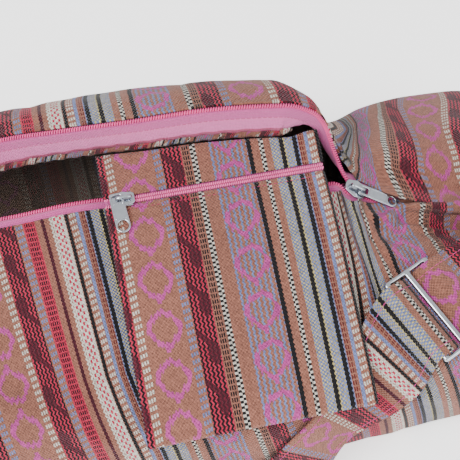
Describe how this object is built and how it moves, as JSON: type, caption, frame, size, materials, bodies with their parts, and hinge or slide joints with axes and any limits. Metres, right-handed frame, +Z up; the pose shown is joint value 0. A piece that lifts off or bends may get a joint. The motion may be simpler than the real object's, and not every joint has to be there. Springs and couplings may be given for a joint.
{
  "type": "yoga mat bag",
  "caption": "Long soft woven yoga mat bag lying on its side, its zip open, an inner zipped pocket pulled out over the front and a wide shoulder strap with an adjuster.",
  "frame": {"origin": "on the surface the bag lies on, under the middle of the whole bag's box", "axes": "+X along the bag towards the closed end of the zip, +Y towards the back of the bag, +Z up"},
  "size_m": [0.7202, 0.2944, 0.1653],
  "materials": {
    "woven_cotton": "heavy striped hand-woven cotton",
    "zip_tape": "pink woven zip tape",
    "zip_coil": "pink nylon coil",
    "metal": "bright nickel plate"
  },
  "bodies": {
    "bag": {"body_back_panel": "woven_cotton", "body_front_panel": "woven_cotton", "end_left": "woven_cotton", "end_right": "woven_cotton", "mouth_seam_roll": "woven_cotton", "pocket_band": "woven_cotton", "pocket_front": "woven_cotton", "pocket_back": "woven_cotton", "strap": "woven_cotton", "zip_tape_upper": "zip_tape", "zip_tape_lower": "zip_tape", "pocket_tape_upper": "zip_tape", "pocket_tape_lower": "zip_tape", "zip_coil_upper": "zip_coil", "zip_coil_lower": "zip_coil", "pocket_coil_upper": "zip_coil", "pocket_coil_lower": "zip_coil", "zip_slider": "metal", "pocket_slider": "metal", "tri_glide": "metal"},
    "zip_pull": {"zip_pull": "metal"},
    "pocket_pull": {"pocket_pull": "metal"}
  },
  "joints": [
    {"name": "zip_pull_lift", "type": "hinge", "parent": "bag", "child": "zip_pull", "pos_m": [0.23441, 0.0377, 0.11327], "axis": [-0.4195, -0.9016, -0.106], "range_deg": [0, 130]},
    {"name": "pocket_pull_swing", "type": "hinge", "parent": "bag", "child": "pocket_pull", "pos_m": [0.08949, 0.04505, 0.13708], "axis": [0, -0.2492, 0.9685], "range_deg": [-80, 30]}
  ]
}
